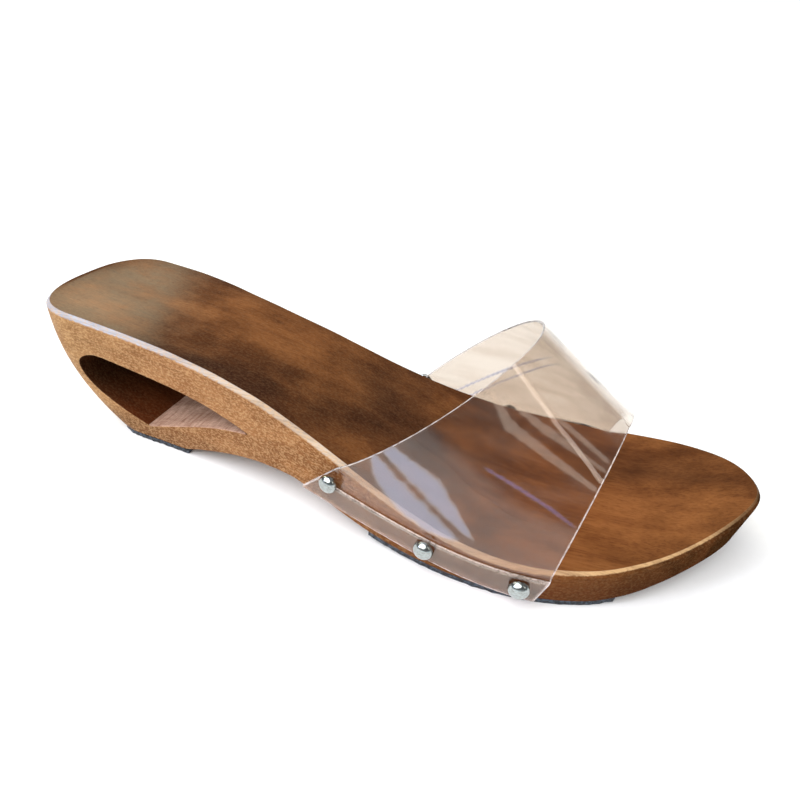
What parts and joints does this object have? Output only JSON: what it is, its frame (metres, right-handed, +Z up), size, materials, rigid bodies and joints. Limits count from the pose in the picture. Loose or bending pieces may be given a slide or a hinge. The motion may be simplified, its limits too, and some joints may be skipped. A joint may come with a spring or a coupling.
{
  "type": "wooden sole sandal",
  "caption": "Right-foot sandal with a carved wooden wedge sole, a cut-out through its heel, thin rubber treads and a clear arched band held by domed nails.",
  "frame": {"origin": "on the floor, under the middle of the sandal's box", "axes": "+X from the heel towards the toe, +Y towards the medial side of this right shoe, +Z up"},
  "size_m": [0.258, 0.0934, 0.0698],
  "materials": {
    "stained_wood": "satin varnish over a brown stain",
    "black_rubber": "matt sheet with cut edges",
    "clear_vinyl": "clear and glossy, slightly tinted",
    "nickel_plate": "polished"
  },
  "bodies": {
    "root": {"wooden_sole": "stained_wood", "forefoot_outsole": "black_rubber", "heel_outsole": "black_rubber", "clear_band": "clear_vinyl", "nail_lateral_1": "nickel_plate", "nail_lateral_2": "nickel_plate", "nail_lateral_3": "nickel_plate", "nail_medial_1": "nickel_plate", "nail_medial_2": "nickel_plate", "nail_medial_3": "nickel_plate"}
  },
  "joints": []
}
